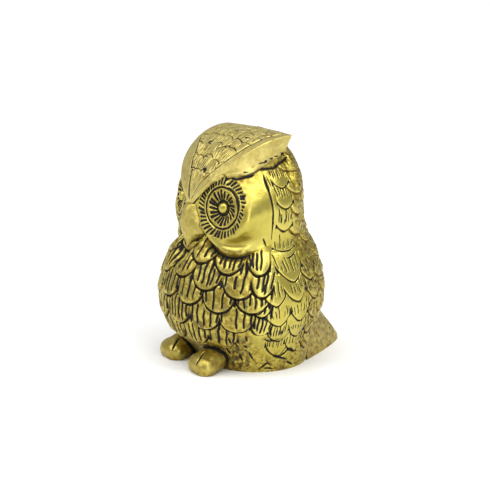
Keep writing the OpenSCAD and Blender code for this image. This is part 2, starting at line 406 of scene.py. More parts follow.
class Style:
    """How one kind of feather is chased. Lengths in mm.

    tall is the height of the rounded end; point 1 makes it a V and 2 a U.
    """

    def __init__(self, **values):
        self.__dict__.update(values)


BOLD = Style(length=9.5, lift=0.75, outline=0.9, cut=0.5, point=2.0, tall=4.6,
             strokes=5, stroke=0.86, stroke_cut=0.42, start=1.2, stop=8.4, level=0.75, ink_and_shade=1.0,
             gaps=0.1)
FINE = Style(length=8.8, lift=0.25, outline=0.62, cut=0.32, point=1.45, tall=6.2,
             strokes=8, stroke=0.38, stroke_cut=0.2, start=2.9, stop=6.4, level=0.3, ink_and_shade=1.0,
             gaps=0.06)
FLAT = Style(length=5.0, lift=0.1, outline=0.55, cut=0.3, point=2.0, tall=1.6,
             strokes=6, stroke=0.4, stroke_cut=0.2, start=0.5, stop=3.4, level=0.2, ink_and_shade=1.0,
             gaps=0.0)
ROUGH = Style(length=8.4, lift=0.65, outline=0.5, cut=0.25, point=1.9, tall=3.4,
              strokes=4, stroke=0.4, stroke_cut=0.2, start=1.6, stop=6.0, level=0.7, ink_and_shade=0.35,
              gaps=0.3)


class Feather:
    def __init__(self, style, turn, height, half_width, lean=0.0, size=1.0):
        self.style = style
        self.size = size
        self.turn = turn
        self.height = height
        self.half_width = half_width
        self.lean = lean
        self.seed = int(abs(turn) * 131 + height * 977 + (turn > 0) * 17)


def chase(sheet, u, v, where, feather):
    """Raises one overlapping feather and cuts its outline and strokes.

    u and v are mm across and above its tip; the feather points down.
    """
    style = feather.style
    own = np.random.default_rng(feather.seed)
    lean = feather.lean + own.normal(0, 2.0)
    a = u * cos(lean) + v * sin(lean)
    b = v * cos(lean) - u * sin(lean)
    w = feather.half_width * own.uniform(0.94, 1.06)
    tall = style.tall * feather.size
    side = np.abs(a) / w
    near = np.clip(side, 0.02, 0.985)
    room = 1 - near ** style.point
    edge = tall * (1 - room ** 0.55)
    slope = tall * 0.55 * room ** -0.45 * style.point * near ** (style.point - 1) / w
    inward = np.minimum((b - edge) / np.sqrt(1 + slope ** 2), w * (1 - side))
    inside = (inward > 0) & (b < style.length)
    lift = style.lift * np.clip(1 - b / style.length, 0, 1) * ease(inward / 0.5 + 0.35)
    crown = 0.22 * style.lift * (1 - np.minimum(side, 1) ** 2)
    sheet.rise[where] = np.where(inside, lift + crown * ease(inward / 1.5), sheet.rise[where])
    sheet.ink_and_shade[where] = np.where(inside, 0.0, sheet.ink_and_shade[where])
    # the outline is thick at the tip and thins up the sides
    weight = 0.6 + 0.4 * bell(side, 0.8) + 0.14 * np.sin(a * 2.1 + own.uniform(0, 6))
    thick = style.outline * weight
    fade = 1 - ease((b - 0.7 * tall) / (0.4 * tall))
    rim = bump(inward + thick * 0.42, thick * 0.66) * fade
    sheet.cut(where, rim, style.cut, style.ink_and_shade)
    count = style.strokes + int(own.integers(-1, 2))
    for home in np.linspace(-0.76, 0.76, count) * w:
        home = home + own.normal(0, 0.14)
        if own.random() < style.gaps:
            continue
        drift = home * (1 + 0.03 * b) + 0.1 * np.sin(b * 1.3 + own.uniform(0, 6))
        under = tall * (1 - (1 - min(abs(home / w), 0.98) ** style.point) ** 0.55)
        floor = style.start + max(style.level * under, under - style.start + 0.8)
        floor = floor + own.normal(0, 0.35)
        top = style.stop + own.normal(0, 0.9)
        middle = (floor + top) / 2
        half_length = max((top - floor) / 2, 0.4)
        along = np.clip(1 - np.abs(b - middle) / half_length, 0, 1)
        half = style.stroke * own.uniform(0.38, 0.62) * (0.35 + 0.65 * ease(along / 0.22))
        stroke = bump(a - drift, half * 1.5) * (along > 0) * inside
        sheet.cut(where, stroke, style.stroke_cut, style.ink_and_shade)


def chase_on_owl(sheet, heights, feathers):
    """Chases feathers on a sheet laid round the body axis, lowest first."""
    radius = np.hypot(sheet.base[..., 0], sheet.base[..., 1])
    for feather in sorted(feathers, key=lambda f: f.height):
        size = max(feather.style.length + 1, feather.half_width * 1.6)
        column = int(round((feather.turn - TURNS[0]) / TURN_STEP)) % COLUMNS
        rows = np.nonzero(np.abs(heights[:, column] - feather.height) < size + 6)[0]
        if not len(rows):
            continue
        row = np.argmin(np.abs(heights[:, column] - feather.height))
        local = max(radius[row, column], 8.0)
        width = int(feather.half_width * 1.7 / local / math.radians(TURN_STEP))
        columns = np.arange(column - width, column + width + 1) % COLUMNS
        where = np.ix_(rows, columns)
        u = np.radians(wrap_turn(TURNS[columns] - feather.turn))[None, :] * radius[where]
        r = radius[:, column]
        slope = np.gradient(r, heights[:, column])
        stretch = math.sqrt(1 + float(np.clip(slope[row], -1.6, 1.6)) ** 2)
        v = (heights[where] - feather.height) * stretch
        chase(sheet, u, v, where, feather)


# ---------------------------------------------------------------- where the feathers lie
BREAST_ROWS = (
    # height at the middle, first turn, sag towards the sides, half width
    (9.6, -1.0, 0.4, 4.2),
    (15.6, 10.0, 0.8, 4.8),
    (23.0, -2.5, 2.4, 5.0),
    (30.2, 9.5, 5.0, 4.7),
    (36.4, 2.0, 4.6, 4.3),
)
BREAST_STEP = 23.0
BREAST_EDGE = 70.0


def breast_feathers():
    feathers = []
    for height, first, sag, half_width in BREAST_ROWS:
        for k in range(-4, 5):
            turn = first + BREAST_STEP * k
            if abs(turn) < BREAST_EDGE - 2:
                tip = height - sag * (1 - math.cos(math.radians(abs(turn) * 360 / 112))) / 2
                lean = -0.22 * turn if height > 25 else -0.08 * turn
                feathers.append(Feather(BOLD, turn, tip, half_width, lean))
    for side in (-1, 1):
        for tip in (31.6, 25.4, 19.6, 13.6):
            feathers.append(Feather(BOLD, side * 72.0, tip, 3.3, -side * 10.0))
    return feathers


def wing_feathers():
    feathers = []
    for side in (-1, 1):
        for tip in (28.4, 22.4, 16.0, 10.4, 5.2):
            for k in range(3):
                if tip == 28.4 and k == 0:
                    continue
                turn = 81.0 + 17.5 * k + 0.45 * (28 - tip)
                height = tip + (0.6 if k == 1 else 0.0)
                feathers.append(Feather(FINE, side * turn, height, 4.3, side * 8.0))
    return feathers


def head_feathers():
    feathers = []
    for side in (-1, 1):
        for tip in (56.7, 50.7, 43.8):
            feathers.append(Feather(FINE, side * 97.2, tip, 3.0, 0.0, size=0.42))
        feathers.append(Feather(FLAT, side * 97.5, 37.9, 3.9, 0.0))
        for k in range(1, 6):
            turn = 96.5 + 16.2 * k
            for row in range(5):
                tip = 38.8 + 6.3 * row + 3.1 * (k % 2)
                feathers.append(Feather(ROUGH, side * turn, tip, 3.7, 0.0))
    return feathers


def back_feathers():
    feathers = []
    for side in (-1, 1):
        for row in range(6):
            for k in range(4):
                turn = 180.0 - 16.5 * k - (8.2 if row % 2 else 0.0)
                if turn > 126 and not (side > 0 and turn == 180.0):
                    feathers.append(Feather(ROUGH, side * turn, 6.5 + 5.4 * row, 4.4, 0.0))
    return feathers


def roughness_zone(points):
    """0 on the hand-polished front and sides, 1 on the rough cast back."""
    turn = np.degrees(np.abs(np.arctan2(points[..., 0], -points[..., 1])))
    return ease((turn - 101) / 14)


LOW_MARKS = (
    # (turn, height) along each stroke near the lower edge of the wing
    ((75.5, 0.9), (79.5, 2.0), (83.0, 3.0), (86.5, 2.2)),
    ((88.0, 5.0), (94.0, 4.4), (100.5, 3.6)),
    ((80.5, 1.4), (88.5, 1.0)),
    ((101.0, 2.8), (108.0, 1.2)),
    ((88.5, 5.8), (94.5, 4.8), (103.0, 6.8), (107.5, 5.6), (112.0, 5.5)),
    ((76.5, 11.8), (80.0, 10.9), (84.5, 10.8), (90.5, 11.2)),
    ((53.0, 11.4), (57.0, 8.6)),
    ((61.0, 9.6), (64.5, 8.4)),
    ((46.0, 8.2), (49.0, 5.6)),
    ((57.5, 6.2), (60.5, 3.6)),
    ((66.0, 6.8), (70.0, 4.4)),
    ((50.0, 13.0), (52.0, 10.4)),
    ((62.5, 13.4), (64.0, 11.0)),
)


def carve_mark(sheet, side, spots, width, depth, **options):
    """Carves a stroke through (turn, height) spots; side 1 is the owl's left."""
    turn, height = np.array(spots, float).T
    sheet.carve(surface(owl_form, side * turn, height), width, depth, **options)


def engrave_low_marks(sheet):
    for side in (-1, 1):
        for spots in LOW_MARKS:
            carve_mark(sheet, side, spots, 0.78, 0.32, stain=0.9)
        for k in range(6):
            hatch = ((78.5 + 2.1 * k, 14.6), (79.2 + 2.1 * k, 12.3))
            carve_mark(sheet, side, hatch, 0.55, 0.25)


BEAK_LOWER_EDGE = ((22.5, 44.2), (19.5, 42.4), (14.0, 40.9), (8.0, 39.4), (1.5, 37.2))
BEAK_SIDE = ((11.0, 48.6), (13.0, 47.0), (16.5, 45.0), (20.0, 42.9))


def engrave_throat(sheet):
    """The dark groove round the lower edge of the beak."""
    for side in (-1, 1):
        carve_mark(sheet, side, BEAK_LOWER_EDGE, 1.15, 0.7, taper=0.15)


def shade_feet(sheet):
    """Painted shade where the feet meet the breast: black in the crevice, brown round it, with the
    crevice pressed in a little.
    """
    q = fold(sheet.base)
    distance = foot_form(q - np.array([FOOT_SPREAD, 0, 0]))
    uneven = 0.15 * noise_a(sheet.base, 1.3)
    # painted shade: black along the crevice and brown round it
    sheet.darken(bell(distance + uneven, 0.5))
    sheet.soil_and_shade(0.9 * bell(distance, 2.0))
    sheet.rise -= 0.3 * bell(distance, 0.7)


def engrave_torso(sheet, heights):
    feathers = breast_feathers() + wing_feathers() + back_feathers() + head_feathers()
    chase_on_owl(sheet, heights, feathers)
    engrave_cheeks(sheet)
    engrave_low_marks(sheet)
    engrave_throat(sheet)
    shade_feet(sheet)


def engrave_head(sheet, heights):
    """Feathers on the sides and back of the head; the face keeps its smooth cheeks."""
    chase_on_owl(sheet, heights, wing_feathers() + back_feathers() + head_feathers())
    beside = ease(np.abs(TURNS) - 85)
    sheet.rise *= beside
    sheet.ink_and_shade *= beside
    engrave_cheeks(sheet)


EAR_LINE = ((81.5, 60.2), (83.0, 56.6), (84.3, 53.2), (85.2, 49.0), (85.4, 45.4), (85.5, 41.4))


def engrave_cheeks(sheet):
    """The ear lines, the small ticks round them and the marks on the shoulders."""
    strokes = (
        # spots along the stroke (turn, height), width, depth
        (EAR_LINE, 0.72, 0.35),
        (((81.3, 60.6), (82.6, 57.8), (83.8, 55.2)), 1.0, 0.45),
        (((84.0, 60.2), (86.6, 56.9)), 0.4, 0.22),
        (((85.0, 48.0), (86.6, 46.0)), 0.36, 0.2),
        (((78.0, 42.0), (81.0, 39.7)), 0.66, 0.32),
        (((96.0, 35.7), (100.5, 36.0), (106.5, 37.2)), 0.66, 0.32),
    )
    for side in (-1, 1):
        for spots, width, depth in strokes:
            carve_mark(sheet, side, spots, width, depth)


# ---------------------------------------------------------------- crest
EAR_HALF_SPAN = 19.2
CREST_FRONT = 51.4
CREST_RISE = 20.6
EAR_FACE = 7.2
CREST_LIP = 0.7
CREST_CLEARANCE = 1.2


def crest_edge(t):
    """The crest's sharp edge on the owl's left; t runs from 0 at the beak to 90 at the ear."""
    return place(EAR_HALF_SPAN * np.maximum(sin(t), 0) ** 0.82,
                 -18 + 24.4 * (1 - cos(t)),
                 CREST_FRONT + CREST_RISE * (0.87 * sin(t) + 0.13 * sin(t) ** 5))


def crest_crown(t):
    return 2.8 * sin(t) * (1 - 0.87 * sin(t) ** 16)


def crest_bow(t):
    return 0.7 * sin(t) ** 6


def crest_drop(t):
    return CREST_LIP + (EAR_FACE - CREST_LIP) * ease((t - 27) / 37)


def crest_inset(t):
    return 5 * (np.maximum(t - 50, 0) / 40) ** 1.6


def crest_top(s, t):
    """The crest's upper face; s runs from -1 at the right edge to 1 at the left one."""
    x, y, z = np.moveaxis(crest_edge(t), -1, 0)
    round_off = 1 - s ** 2
    return place(s * x, y + crest_bow(t) * round_off, z + crest_crown(t) * round_off)


def crest_crevice(t):
    """The line, on the owl's left, where the concave face under an ear meets the head."""
    return crest_edge(t) - place(crest_inset(t), 0, crest_drop(t))


def crest_cover(points):
    """Height of the crest's top at each point, or a very high value beside the crest."""
    x, y = points[..., 0], points[..., 1]

    def is_past(t):
        edge = crest_edge(t)
        s = np.clip(x / edge[..., 0], -1, 1)
        return y <= edge[..., 1] + crest_bow(t) * (1 - s ** 2)

    t = find_edge(is_past, x.shape, 1, 90, steps=14)
    s = x / crest_edge(t)[..., 0]
    top = crest_top(np.clip(s, -1, 1), t)[..., 2]
    covered = (np.abs(s) < 0.97) & (t < 89.5) & (t > 1.5)
    return np.where(covered, top, 1e3)


# ---------------------------------------------------------------- seam and eyes on the sheets
def seam_distance(points, heights):
    radius = np.hypot(points[..., 0], points[..., 1])
    slope = np.gradient(SEAM) / (np.maximum(radius, 5) * math.radians(TURN_STEP))
    return np.abs((heights - SEAM) / np.sqrt(1 + slope ** 2))


def press_seam(sheet, heights, above):
    """The crevice under the face, with black patina and painted shade in it and brown grime and
    painted shade beside it; it fades where head and shoulder run together.
    """
    distance = seam_distance(sheet.base, heights)
    weight = 1 - ease((np.abs(TURNS) - 58) / 18)
    if above:
        shape = 0.95 * bell(distance - 1.7, 1.7) - 1.6 * bell(distance, 0.55)
        stain = bell(distance - 0.6, 1.5)
    else:
        shape = -1.0 * bell(distance, 0.9) - 0.25 * bell(distance, 2.6)
        stain = 0.7 * bell(distance, 1.2)
    sheet.rise += weight * shape
    # the black line and the brown stain band are patina and grime together with painted shade
    sheet.darken(weight * bell(distance, 0.42))
    sheet.soil_and_shade(weight * stain)


RAYS_OUTER = 42
RAYS_INNER = 21
RAY_SWIRL = 25.0
SOCKET_DEPTH = 1.6


def cut_rays(sheet, where, angle, radius, count, inner, outer, width, depth, seed, short=0.0):
    """Radial chisel strokes round an eye."""
    own = np.random.default_rng(seed)
    step = 360 / count
    outward = np.clip(cos(angle), 0, 1)
    angle = (angle + RAY_SWIRL * (radius - inner) / radius) % 360
    index = np.floor(angle / step).astype(int) % count
    centre = (index + 0.5) * step + own.normal(0, 0.08, count)[index] * step
    first = inner + own.uniform(0, 0.35, count)[index]
    last = outer - own.uniform(0, 0.7, count)[index] - short * outward
    thick = width * own.uniform(0.75, 1.2, count)[index]
    thick = np.minimum(thick, 0.72 * math.radians(step) * radius)
    arc = np.radians(wrap_turn(angle - centre)) * radius
    ends = np.clip(np.minimum(radius - first, last - radius) / 0.4, 0, 1)
    profile = bump(arc, thick * (0.7 + 0.3 * ends)) * ease(ends * 2.2)
    sheet.cut(where, profile, depth)


def eye_coordinates(points, side):
    rel = mirror(points, side) - EYE_PLACE
    return rel @ EYE_SIDE, rel @ EYE_UP, rel @ EYE_AXIS


def cut_eye_surround(sheet, side):
    across, up, out = eye_coordinates(sheet.base, side)
    radius = np.hypot(across, up)
    where = np.nonzero((radius < 10) & (out > -4))
    radius = radius[where]
    angle = np.degrees(np.arctan2(up[where], across[where])) % 360
    cut_rays(sheet, where, angle, radius, RAYS_OUTER, 6.6, 9.7, 0.78, 0.4, 41 + side,
             short=1.3)
    waver = 0.06 * noise_a(sheet.base[where], 1.4)
    sheet.cut(where, bump(radius - EYE_R + waver, 0.34), 0.45)
    sheet.soil_and_shade(0.5 * (1 - ease((radius - 8.8) / 1.2)), where)
    sheet.rise[where] -= SOCKET_DEPTH * ease((EYE_R + 0.05 - radius) / 0.25)


def press_under_crest(points):
    """Keeps the head below the crest that sits on it."""
    cover = crest_cover(points)
    result = points.copy()
    result[..., 2] = np.minimum(points[..., 2], cover - CREST_CLEARANCE)
    return result


def mottle(sheet, strength):
    """Shallow unevenness of a casting, more on the rough parts."""
    points = sheet.base
    coarse = noise_a(points, 2.6) * 0.06 + noise_b(points, 1.1) * 0.1
    fine = noise_a(points + 40, 0.5) * 0.09
    sheet.rise += coarse * (0.2 + strength) + fine * strength
    broken = noise_b(points + 17, 1.3) + 0.6 * noise_a(points + 5, 0.5) - 0.35
    pits = ease(broken / 0.45) * np.minimum(strength, 1)
    sheet.rise -= 0.13 * pits
    sheet.darken(0.5 * pits)


# ---------------------------------------------------------------- meshes
def to_frame(points):
    return (points + np.array([0, AXIS_Y, 0])) * MM


def grid_quads(rows, columns, wrap, start=0):
    last = columns if wrap else columns - 1
    r, c = np.meshgrid(np.arange(rows - 1), np.arange(last), indexing="ij")
    a = start + r * columns + c
    b = start + r * columns + (c + 1) % columns
    return np.stack([a, b, b + columns, a + columns], axis=-1).reshape(-1, 4)


def join_rings(first, second):
    """Quads between two rings of point numbers."""
    return np.stack([first, np.roll(first, -1), np.roll(second, -1), second], axis=-1)


def fan(ring, tip):
    """Triangles from a ring of point numbers to one point."""
    return np.stack([ring, np.roll(ring, -1), np.full(len(ring), tip)], axis=-1)


def closed_skin(rows, columns):
    """Faces of a grid, its copy behind or below, which follows it, and the rim between."""
    start = rows * columns
    rim = np.concatenate([np.arange(columns), columns - 1 + columns * np.arange(1, rows),
                          start - 2 - np.arange(columns - 1),
                          columns * np.arange(rows - 2, 0, -1)])
    return [grid_quads(rows, columns, False), grid_quads(rows, columns, False, start)[:, ::-1],
            join_rings(rim, rim + start)[:, ::-1]]


# the values where a piece has points beyond those of its fields
BLANK = {"ink_and_shade": 0.0, "wear": 0.0, "grime_and_shade": 0.8}


def make_piece(name, nodes, fields, grids, faces, material, flip=False):
    """A mesh object in the row frame, in the place of some CAD nodes.

    Its points come in grids that follow one another, and its faces in arrays of point numbers.
    Its fields give a value for each point of the first grids.
    """
    mesh = bpy.data.meshes.new(name)
    points = to_frame(np.concatenate([grid.reshape(-1, 3) for grid in grids]))
    if flip:
        faces = [f[:, ::-1] for f in faces]
    mesh.vertices.add(len(points))
    mesh.vertices.foreach_set("co", points.astype(np.float32).ravel())
    corners = np.concatenate([f.ravel() for f in faces])
    sizes = np.concatenate([np.full(len(f), f.shape[1]) for f in faces])
    mesh.loops.add(len(corners))
    mesh.loops.foreach_set("vertex_index", corners.astype(np.int32))
    mesh.polygons.add(len(sizes))
    starts = np.concatenate([[0], np.cumsum(sizes)[:-1]])
    mesh.polygons.foreach_set("loop_start", starts.astype(np.int32))
    mesh.polygons.foreach_set("use_smooth", np.ones(len(sizes), bool))
    for field, values in fields.items():
        full = np.full(len(points), BLANK[field], np.float32)
        full[:values.size] = values.ravel()
        layer = mesh.attributes.new(field, "FLOAT", "POINT")
        layer.data.foreach_set("value", full)
    mesh.update(calc_edges=True)
    mesh.validate()
    mesh.set_sharp_from_angle(angle=math.radians(62))
    piece = bpy.data.objects.new(name, mesh)
    bpy.context.scene.collection.objects.link(piece)
    mesh.materials.append(material)
    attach(piece, "root")
    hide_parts(*nodes)


def sheet_fields(sheet):
    """Black patina and painted shade, wear, and brown grime and painted shade at each point of a
    sheet.
    """
    return {
        "ink_and_shade": np.clip(sheet.ink_and_shade, 0, 1),
        "wear": sheet.wear(),
        "grime_and_shade": np.clip(sheet.grime_and_shade, 0, 1),
    }


def make_body_shell(material):
    heights = np.linspace(0, 1, BODY_ROWS)[:, None] * SEAM
    sheet = Sheet(surface(owl_form, TURNS, heights), True)
    engrave_torso(sheet, heights)
    zone = roughness_zone(sheet.base)
    aside = np.abs(TURNS)
    skirt = ease((13 - heights) / 6) * bump(aside - 52, 42)
    foot_of_wing = ease((9 - heights) / 6) * bump(aside - 90, 45)
    skirt = np.maximum(skirt, 0.85 * foot_of_wing)
    breast = (1 - ease((aside - 62) / 14)) * ease(heights / 4)
    mottle(sheet, np.maximum(1.5 * np.maximum(zone, skirt), 0.4 * breast))
    press_seam(sheet, heights, above=False)
    sheet.soil_and_shade(0.8 * breast)
    sheet.soil_and_shade(skirt)
    smear = skirt * ease((noise_a(sheet.base * [1, 1, 0.6], 1.0) + 0.05) / 0.5)
    blotch = breast * ease((noise_b(sheet.base * [1, 1, 0.5], 1.2) - 0.15) / 0.4)
    sheet.darken(np.maximum(0.6 * smear, 0.48 * blotch))
    sheet.soil_and_shade(0.7 * zone)
    sheet.rise *= ease(heights / 0.8)
    outer = sheet.final_points()
    outer[0, :, 2] = 0.0
    inner = surface(hollow_form, TURNS, np.linspace(0, 1, HOLLOW_ROWS)[::-1, None] * SEAM)
    inner = inner + 0.12 * noise_a(inner, 1.7)[..., None] * unit(inner * [1, 1, 0])
    inner[-1, :, 2] = 0.0
    start = BODY_ROWS * COLUMNS
    rings = np.arange(COLUMNS)
    faces = [grid_quads(BODY_ROWS, COLUMNS, True), grid_quads(HOLLOW_ROWS, COLUMNS, True, start),
             join_rings(start - COLUMNS + rings, start + rings),
             join_rings(start + (HOLLOW_ROWS - 1) * COLUMNS + rings, rings)]
    make_piece("body_shell_chased", ["body_shell"], sheet_fields(sheet), (outer, inner), faces,
               material)


def dome_heights(rows, top):
    """Rows from the seam up to just below the top, closer together near the top."""
    part = sin(90 * np.arange(rows) / rows)[:, None]
    return SEAM + (top - SEAM) * part


def make_head_shell(material):
    heights = dome_heights(HEAD_ROWS, HEAD_TOP)
    sheet = Sheet(surface(owl_form, TURNS, heights), True)
    engrave_head(sheet, heights)
    zone = roughness_zone(sheet.base)
    mottle(sheet, 1.5 * zone)
    press_seam(sheet, heights, above=True)
    for side in (-1, 1):
        cut_eye_surround(sheet, side)
        stain_under_crest(sheet, side)
        carve_mark(sheet, side, BEAK_SIDE, 1.1, 0.7, taper=0.2)
    sheet.soil_and_shade(0.7 * zone)
    outer = press_under_crest(sheet.final_points())
    inner = surface(hollow_form, TURNS, dome_heights(HOLLOW_ROWS, HOLLOW_TOP)[::-1])
    tips = np.array([[0, 0, outer[-1, :, 2].min()], [0, 0, HOLLOW_TOP]])
    start = HEAD_ROWS * COLUMNS
    outer_tip = start + HOLLOW_ROWS * COLUMNS
    rings = np.arange(COLUMNS)
    faces = [grid_quads(HEAD_ROWS, COLUMNS, True), grid_quads(HOLLOW_ROWS, COLUMNS, True, start),
             join_rings(outer_tip - COLUMNS + rings, rings),
             fan(start - COLUMNS + rings, outer_tip),
             fan((start + rings)[::-1], outer_tip + 1)]
    make_piece("head_shell_chased", ["head_shell"], sheet_fields(sheet), (outer, inner, tips),
               faces, material)


UNDER_EAR_LOWER = ((34.0, 59.4), (47.0, 60.2), (54.5, 59.6), (60.0, 59.9), (68.5, 60.4),
                   (72.0, 60.7))
UNDER_EAR_UPPER = ((68.0, 61.9), (79.0, 62.2), (93.5, 62.2), (98.5, 62.6), (104.0, 63.2),
                   (111.0, 63.6), (114.0, 64.6), (122.0, 65.4))


def stain_under_crest(sheet, side):
    """Dark crevice and brown stain where the head meets the face under the ear."""
    for spots in (UNDER_EAR_LOWER, UNDER_EAR_UPPER):
        carve_mark(sheet, side, spots, 1.0, 0.3, taper=0.2, stain=2.4)
    t = np.linspace(30, 88, 14)
    line = mirror(crest_crevice(t), side)
    where = sheet.near(line, 3.5)
    spots = sheet.base[where]
    distance = np.full(len(spots), 1e9)
    for a, b in zip(line, line[1:]):
        for part in np.linspace(0, 1, 6):
            distance = np.minimum(distance, np.linalg.norm(spots - (a + part * (b - a)), axis=1))
    patch = 0.65 + 0.35 * noise_a(spots, 1.6)
    sheet.darken(0.8 * bell(distance, 0.6) * ease(patch * 1.5), where)
    sheet.soil_and_shade(bell(distance, 2.8) * patch, where)


def crest_back(ring, rows):
    """Rings that close the crest behind the ear tips, drawn in to one point."""
    centre = np.array([0, ring[:, 1].mean() + 1.0, ring[:, 2].mean()])
    for k in range(1, rows + 1):
        part = (k / rows) ** 2
        inner = centre + (ring - centre) * (1 - part)
        inner[:, 1] += 0.5 * math.sin(math.pi * part)
        yield inner


def make_crest(material):
    rows, columns, side_rows, back_rows = 300, 300, 60, 26
    t = np.linspace(4.0, 90.0, rows)[:, None]
    s = np.linspace(1, -1, columns)[None, :]
    sheet = Sheet(crest_top(s, t), False)
    sheet.normal = sheet.normal * np.sign(sheet.normal[..., 2:3])
    engrave_crest(sheet, t)
    mottle(sheet, 0.2)
    upper = sheet.final_points()
    sides = {}
    for side in (1, -1):
        edge = upper[:, 0] if side > 0 else upper[:, -1]
        low = mirror(crest_crevice(t[:, 0]), side)
        seat = low - np.array([side * 1.0, 0, 1.2])
        sides[side] = cove(edge, low, seat, side_rows, side)
    left, right = sides[1], sides[-1]
    ring = np.concatenate([upper, right[:, 1:], left[:, ::-1][:, :-1]], axis=1)
    depth = np.linspace(0, 1, side_rows)[1:]
    stain = ease((depth - 0.68) / 0.3)[None, :] * (0.6 + 0.4 * noise_b(right[:, 1:], 1.5))
    stain = stain * ease((t - 28) / 14)
    stain = np.maximum(stain, 0.35)
    cove_points = right[:, 1:] * np.array([1, 1, 2.2])
    streak = ease((noise_a(cove_points, 1.1) - 0.1) / 0.3) * bump(depth - 0.82, 0.17)[None, :]
    streak = streak * ease((t - 40) / 10)
    front = np.tile(crest_edge(0.0) - [0, 0, 0.3], (ring.shape[1], 1))
    full = np.concatenate([front[None], ring, list(crest_back(ring[-1], back_rows))])
    full = round_edges(full, columns, rows)
    tips = np.array([full[0, 0], full[-1, 0]])
    end = (len(full) - 2) * full.shape[1]
    clean_back = np.zeros(end + len(tips) - ring[..., 0].size)
    fields = {}
    for key, top, beside in (("ink_and_shade", sheet.ink_and_shade, streak), ("wear", sheet.wear(), 0 * streak),
                             ("grime_and_shade", sheet.grime_and_shade, stain)):
        values = np.concatenate([top, beside, beside[:, ::-1]], axis=1)
        fields[key] = np.concatenate([values.ravel(), clean_back])
    around_ring = np.arange(full.shape[1])
    faces = [grid_quads(len(full) - 2, full.shape[1], True)[:, ::-1], fan(around_ring, end),
             fan((end - full.shape[1] + around_ring)[::-1], end + 1)]
    make_piece("crest_engraved", ["crest"], fields, (full[1:-1], tips), faces, material)


def round_edges(full, columns, rows):
    """Softens the crest's rim and ear tips by averaging neighbours near them."""
    count = full.shape[1]
    column = np.arange(count)
    off = np.minimum(np.minimum(column, count - column), np.abs(column - columns + 1))
    rim = (1 - ease((off - 4) / 5))[None, :]
    end = (1 - ease((np.abs(np.arange(full.shape[0]) - rows) - 4) / 5))[:, None]
    weight = np.maximum(rim, end)[1:-1, :, None] * 0.5
    result = full.copy()
    for _ in range(18):
        mean = (np.roll(result, 1, axis=1) + np.roll(result, -1, axis=1))[1:-1]
        mean = (mean + result[2:] + result[:-2]) / 4
        result[1:-1] += weight * (mean - result[1:-1])
    return result


def cove(edge, low, seat, rows, side):
    """Concave face from the crest's sharp edge down to the head, then its seat inside."""
    part = np.linspace(0, 1, rows)[None, :, None]
    straight = edge[:, None] * (1 - part) + low[:, None] * part
    depth = np.linalg.norm(edge - low, axis=1)[:, None, None]
    hollow = np.sin(np.pi * part) * np.minimum(depth * 0.17, 1.25)
    straight = straight - hollow * np.array([side * 0.8, -0.5, 0.1])
    tuck = ease((part - 0.94) / 0.06)
    return straight * (1 - tuck) + seat[:, None] * tuck


def crest_border(t, side):
    """Half width of the engraved field; the smooth border is broader on the owl's right."""
    edge, y, _ = np.moveaxis(crest_edge(t), -1, 0)
    broad = np.where(side < 0, 3.3 * (1 - ease((y + 12) / 7)), 0)
    return edge - np.minimum((0.42 + 0.1 * broad) * edge, 3.0 + broad)


CREST_ROWS = (-15.2, -12.2, -8.6, -5.2, -1.6, 2.0, 5.4)
CREST_DARK_MARKS = ((3.7, -15.0), (0.5, -12.5), (-3.8, -8.3), (6.6, -8.3), (9.6, -3.5),
                    (0.5, -1.6), (2.9, 3.8), (10.0, 4.0), (-9.5, 6.2))
CREST_STYLE = Style(length=5.6, lift=0.22, outline=0.5, cut=0.26, point=2.0, tall=1.3,
                    strokes=6, stroke=0.42, stroke_cut=0.16, start=0.8, stop=4.6, level=0.6,
                    ink_and_shade=0.95, gaps=0.3)


def on_crest(sheet, x, y):
    """The point of the crest's top at the given place seen from above."""
    flat = sheet.base.reshape(-1, 3)
    return flat[np.argmin(np.hypot(flat[:, 0] - x, flat[:, 1] - y))]


